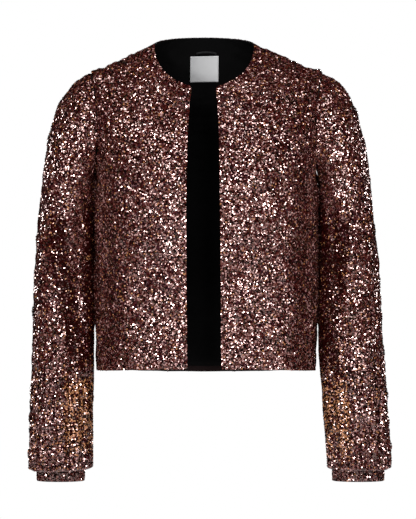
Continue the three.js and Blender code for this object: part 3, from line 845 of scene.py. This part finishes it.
def clothPanel(name, node, levels, low, high, columns):
    points, normals = panelGrid(levels, low, high, columns)
    cloth = clothWall(name, points, normals, groundDepth, groundThickness, False, sequinGround)
    dress(cloth, node)
    return cloth


def makeFront(side, word):
    low = lambda v: side * edgeAngle(side, v)
    high = lambda v: side * (90 - seamHalf - armholeOpening(v, "front"))
    ends = (low, high) if side > 0 else (high, low)
    cloth = clothPanel(f"front_{word}_cloth", f"front_{word}", panelLevels(46), *ends, 60)
    edge = lambda v: side * (edgeAngle(side, v) + edgeInset)
    places = np.concatenate([bodyPlaces[inFront(side)], *edgeRows(edge, "front", side, 0),
                             levelRow(side * (edgeAngle(side, neckRow) + 1), side * 90, neckRow),
                             levelRow(side * (edgeAngle(side, hemRow) + 1), side * 90, hemRow)])
    discs = sequinDiscs(f"front_{word}_sequins", torsoSurface, places, 0.5, 0.02, 1)
    dress(discs, None)


for side, word in sides:
    makeFront(side, word)
print("fronts sewn")


def makeBack():
    rim = lambda v: 90 + seamHalf + armholeOpening(v, "back")
    cloth = clothPanel("back_cloth", "back", panelLevels(46), rim, lambda v: 360 - rim(v), 110)
    places = np.concatenate([bodyPlaces[inBack()], *edgeRows(None, "back", 1, 90),
                             *edgeRows(None, "back", -1, 270),
                             levelRow(90, 270, neckRow), levelRow(90, 270, hemRow)])
    discs = sequinDiscs("back_sequins", torsoSurface, places, 0.5, 0.02, 1)
    dress(discs, None)


makeBack()


def makeLining():
    levels = panelLevels(40)
    levels = levels[levels >= 0.05]  # the lining ends a little above the hem
    rim = lambda v: 90.6 + armholeOpening(v, "back")  # and keeps clear of the seams
    points, normals = panelGrid(levels, rim, lambda v: 360 - rim(v), 90)
    cloth = clothWall("back_lining", points, normals, liningDepth, liningThickness, False, blackLining)
    dress(cloth, "lining_back")


makeLining()
print("back and lining sewn")


seamTuck = {"depth": 1.0, "under": 2.0}  # the sleeve's seam allowance, lying under the body's edge
headRowAt = 0.004  # where along a sleeve its first row lies, beside the armhole


def tubeGrid(surface, side, columns, stations):
    turn, along = np.meshgrid(np.linspace(0, 360, columns, endpoint=False), stations)
    points = surface(turn, along)
    around = np.roll(points, -1, 1) - np.roll(points, 1, 1)
    return points, side * unit(np.cross(around, np.gradient(points, axis=0)))


def makeSleeve(side, word):
    surface = sleeveSurface(side)
    wholes = np.concatenate([np.linspace(0, 0.3, 46, endpoint=False),
                             np.linspace(0.3, 0.8, 60, endpoint=False),
                             np.linspace(0.8, 1, 40, endpoint=False), np.linspace(1, sleeveEnd, 16)])
    points, normals = tubeGrid(surface, side, 126, wholes)
    tuck = points[:1] - normals[:1] * seamTuck["depth"] - np.array([side * seamTuck["under"], 0, 0])
    points, normals = np.concatenate([tuck, points]), np.concatenate([normals[:1], normals])
    cloth = clothWall(f"sleeve_{word}_cloth", points, normals, groundDepth, groundThickness, True,
                      sequinGround)
    dress(cloth, f"sleeve_{word}")
    rowLine = np.concatenate([np.linspace(turnEnd, 0.8, 50, endpoint=False), np.linspace(0.8, 0, 120)])
    places = sewRows(surface, np.linspace(0, 360, 145), rowLine)
    places = places[places[:, 1] > headRowAt]
    headRow = rowAlong(surface, np.linspace(0, 360, 500), np.full(500, headRowAt))
    places = np.concatenate([places, headRow])
    discs = sequinDiscs(f"sleeve_{word}_sequins", surface, places, 1.0, 0.004, side)
    dress(discs, None)


bandWall = {"depth": 0.6, "thickness": 1.6}


def makeCuff(side, word):
    surface = cuffSurface(side)
    points, normals = tubeGrid(surface, side, 204, np.linspace(0, 1, 12))
    cloth = clothWall(f"cuff_{word}_band", points, normals, bandWall["depth"], bandWall["thickness"], True,
                      sequinGround)
    dress(cloth, f"cuff_{word}")
    places = sewRows(surface, np.linspace(0, 360, 181), np.linspace(0.02, 0.99, 20))
    discs = sequinDiscs(f"cuff_{word}_sequins", surface, places, 0.7, 0.02, side)
    dress(discs, None)


for side, word in sides:
    makeSleeve(side, word)
    makeCuff(side, word)
print("sleeves and cuffs sewn")


# What lies on the lining: the label and the hanger loop
def onLining(x, z, depth):
    # The point of the lining at x and z, and depth further in
    x, z, depth = np.broadcast_arrays(*(np.asarray(part, float) for part in (x, z, depth)))
    low, high = np.full(x.shape, float(underarm)), np.full(x.shape, float(neck))

    def angleAt(level):
        shift = through(torso["shift"], level)
        share = np.abs(x - shift) / through(torso["halfWidth"], level)
        turned = np.degrees(np.arcsin(np.clip(share, 0, 1) ** (through(torso["square"], level) / 2)))
        return np.where(x < shift, 180 + turned, 180 - turned)

    for halving in range(30):  # find the level by halving the span
        middle = (low + high) / 2
        below = torsoForm(angleAt(middle), middle)[..., 2] < z
        low, high = np.where(below, middle, low), np.where(below, high, middle)
    angle = angleAt(low)
    normal = normalOf(torsoForm, angle, np.clip(low, 0, neck - 0.02), 0.4, 0.01, 1)
    return torsoForm(angle, low) - normal * (liningDepth + onLiningDepth + depth)[..., None], normal


label = {"width": 45, "height": 39, "thickness": 0.45, "middleX": -3.2, "topZ": -11.9,
         "turn": 1.2, "lean": -0.7, "curl": 0.5, "off": 0.6, "dropOff": 0.03,
         "stitchInset": 2.2, "stitchLength": 2.0, "stitchStep": 3.0, "stitchRadius": 0.22}


def labelPoint(right, down, depth):
    turn = math.radians(label["turn"])
    x = label["middleX"] + right * math.cos(turn) + down * math.sin(math.radians(label["lean"]))
    z = label["topZ"] + right * math.sin(turn) - down * math.cos(turn)
    curl = label["curl"] * np.abs(right / label["width"] * 2) ** 3 * (down / label["height"])
    return onLining(x, z, label["off"] + label["dropOff"] * down + curl + depth)


def threads(name, runs, radius, finish):
    # Short stitches as six-sided tubes that dive into the cloth at both ends
    vertices, faces = [], []
    rings = ((0, -0.8, 0.5), (0.15, 0.3, 1), (0.5, 0.7, 1), (0.85, 0.3, 1), (1, -0.8, 0.5))
    for start, end, normal in runs:
        along = unit(end - start)
        side = np.cross(normal, along)
        for share, lift, size in rings:
            middle = start + (end - start) * share - normal * lift * radius
            for k in range(6):
                a = math.pi * k / 3
                vertices.append(middle + radius * size * (side * math.cos(a) + normal * math.sin(a)))
        first = len(vertices) - 6 * len(rings)
        for ring in range(len(rings) - 1):
            for k in range(6):
                a, b = first + 6 * ring + k, first + 6 * ring + (k + 1) % 6
                faces.append((a, b, b + 6, a + 6))
        faces.append(tuple(range(first + 5, first - 1, -1)))
        faces.append(tuple(range(first + 24, first + 30)))
    return addObject(name, np.array(vertices), faces, [finish])


def makeLabel():
    right, down = np.meshgrid(np.linspace(-0.5, 0.5, 37) * label["width"],
                              np.linspace(0, 1, 33) * label["height"])
    points, normals = labelPoint(right, down, 0)
    satin = clothWall("label_satin", points, -normals, 0, -label["thickness"], False, labelSatin)
    dress(satin, "neck_label")
    runs = []
    step, inset = label["stitchStep"], label["stitchInset"]
    halfSpan, height = label["width"] / 2 - inset, label["height"]
    for x in np.arange(-halfSpan, halfSpan - step * 0.6, step):
        for y in (inset, height - inset):
            runs.append((x, y, x + label["stitchLength"], y))
    for y in np.arange(inset, height - inset - step * 0.6, step):
        for x in (-halfSpan, halfSpan):
            runs.append((x, y, x, y + label["stitchLength"]))
    ends = []
    for x0, y0, x1, y1 in runs:
        a, normal = labelPoint(np.array(x0), np.array(y0), label["thickness"])
        b = labelPoint(np.array(x1), np.array(y1), label["thickness"])[0]
        ends.append((a, b, normal))
    stitches = threads("label_stitches", ends, label["stitchRadius"], greyThread)
    dress(stitches, None)


# A flat size has no side under 10 mm, so the 3 mm ribbon is given with a wider flat and its true area
loop = {"halfSpan": 16, "rise": 4.5, "width": 3, "thickness": 0.6, "middleX": 0, "z": -6.5,
        "off": 0.6, "slack": 1.5, "crown": 0.25, "length": 32.64, "flatWidth": 10.2, "easedWidth": 3.06}


def makeLoop():
    share, edge = np.meshgrid(np.linspace(-1, 1, 41), np.linspace(0, 1, 5))
    z = loop["z"] + loop["rise"] * (1 - share ** 2) * 0.5 - loop["width"] * edge
    depth = loop["off"] + loop["slack"] * (1 - share ** 2) + loop["crown"] * np.sin(np.pi * edge)
    points, normals = onLining(loop["middleX"] + loop["halfSpan"] * share, z, depth)
    ribbon = clothWall("hanger_ribbon", points, -normals, 0, -loop["thickness"], False, blackRibbon)
    dress(ribbon, "hanger_loop")


makeLabel()
makeLoop()
print("label and loop sewn")

# Camera at the photo's angle: level, 4 m away, at the middle of the 416 by 519 frame
shot = {"distance": 4.0, "middleX": 0.0023, "middleZ": -0.3325, "frameHeight": 0.8045, "sensor": 36.0}
camera = bpy.data.objects.new("camera", bpy.data.cameras.new("camera"))
bpy.context.scene.collection.objects.link(camera)
camera.location = (shot["middleX"], -shot["distance"], shot["middleZ"])
camera.rotation_euler = (math.pi / 2, 0, 0)
camera.data.sensor_width = shot["sensor"]
camera.data.lens = shot["sensor"] * shot["distance"] / shot["frameHeight"]
bpy.context.scene.camera = camera

# Studio: a round pale floor and softboxes that the sequins catch, in a dim room with a white outlook
studio = {"floorZ": -0.86, "floorRadius": 1.15, "floorSides": 96, "floorColour": (0.9, 0.9, 0.9),
          "room": 0.009, "aim": (0, 0, -0.35)}
softboxes = [  # place, size across and up, power in watts
    {"name": "keyBox", "at": (-1.7, -3.2, 1.5), "size": (0.55, 0.7), "power": 53},
    {"name": "fillBox", "at": (2.2, -3.4, 0.9), "size": (0.6, 0.7), "power": 54},
    {"name": "topBox", "at": (0.1, -1.6, 2.4), "size": (1.2, 0.5), "power": 25},
    {"name": "frontBox", "at": (0.6, -4.6, 0.7), "size": (0.4, 0.4), "power": 54},
    {"name": "lowBox", "at": (-0.9, -3.8, -0.65), "size": (0.5, 0.25), "power": 44},
    {"name": "sideBoxRight", "at": (-2.1, -1.5, 2.1), "size": (0.5, 0.6), "power": 29},
    {"name": "sideBoxLeft", "at": (2.2, -1.5, 1.9), "size": (0.5, 0.6), "power": 20},
    {"name": "rearBoxLeft", "at": (3.3, 1.9, 0.7), "size": (0.5, 0.6), "power": 42},
    {"name": "rearBoxRight", "at": (-3.3, 1.8, 0.5), "size": (0.5, 0.6), "power": 38},
    {"name": "rearBoxMiddle", "at": (0.3, 4.4, 0.35), "size": (0.5, 0.5), "power": 64},
]


def makeFloor():
    around = np.linspace(0, 2 * np.pi, studio["floorSides"], endpoint=False)
    rim = np.column_stack([np.cos(around), np.sin(around), np.zeros(len(around))]) * studio["floorRadius"]
    rim[:, 2] = studio["floorZ"]
    pale = Finish("paleFloor", Base_Color=(*studio["floorColour"], 1), Roughness=0.9)
    addObject("floor", rim / mm, [list(range(len(around)))], [pale], False)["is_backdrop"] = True


def makeSoftbox(box):
    light = bpy.data.lights.new(box["name"], "AREA")
    light.shape = "RECTANGLE"
    light.size, light.size_y = box["size"]
    light.energy = box["power"]
    lamp = bpy.data.objects.new(box["name"], light)
    lamp.location = box["at"]
    lamp.rotation_euler = (Vector(studio["aim"]) - lamp.location).to_track_quat("-Z", "Y").to_euler()
    bpy.context.scene.collection.objects.link(lamp)


def makeRoom():
    room = bpy.data.worlds.new("room")
    room.use_nodes = True
    outlook = room.node_tree.nodes["Background"]
    path = room.node_tree.nodes.new("ShaderNodeLightPath")
    seen = Wire(room.node_tree, path.outputs["Is Camera Ray"])
    strength = seen * (1 - studio["room"]) + studio["room"]
    room.node_tree.links.new(strength.socket, outlook.inputs["Strength"])
    outlook.inputs["Color"].default_value = (1, 1, 1, 1)
    bpy.context.scene.world = room


makeFloor()
for box in softboxes:
    makeSoftbox(box)
makeRoom()
bpy.context.scene.view_settings.view_transform = "Standard"
print("studio set")

low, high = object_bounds()
{"cad": [list(cadLow), list(cadHigh)], "visual": [list(low), list(high)]}
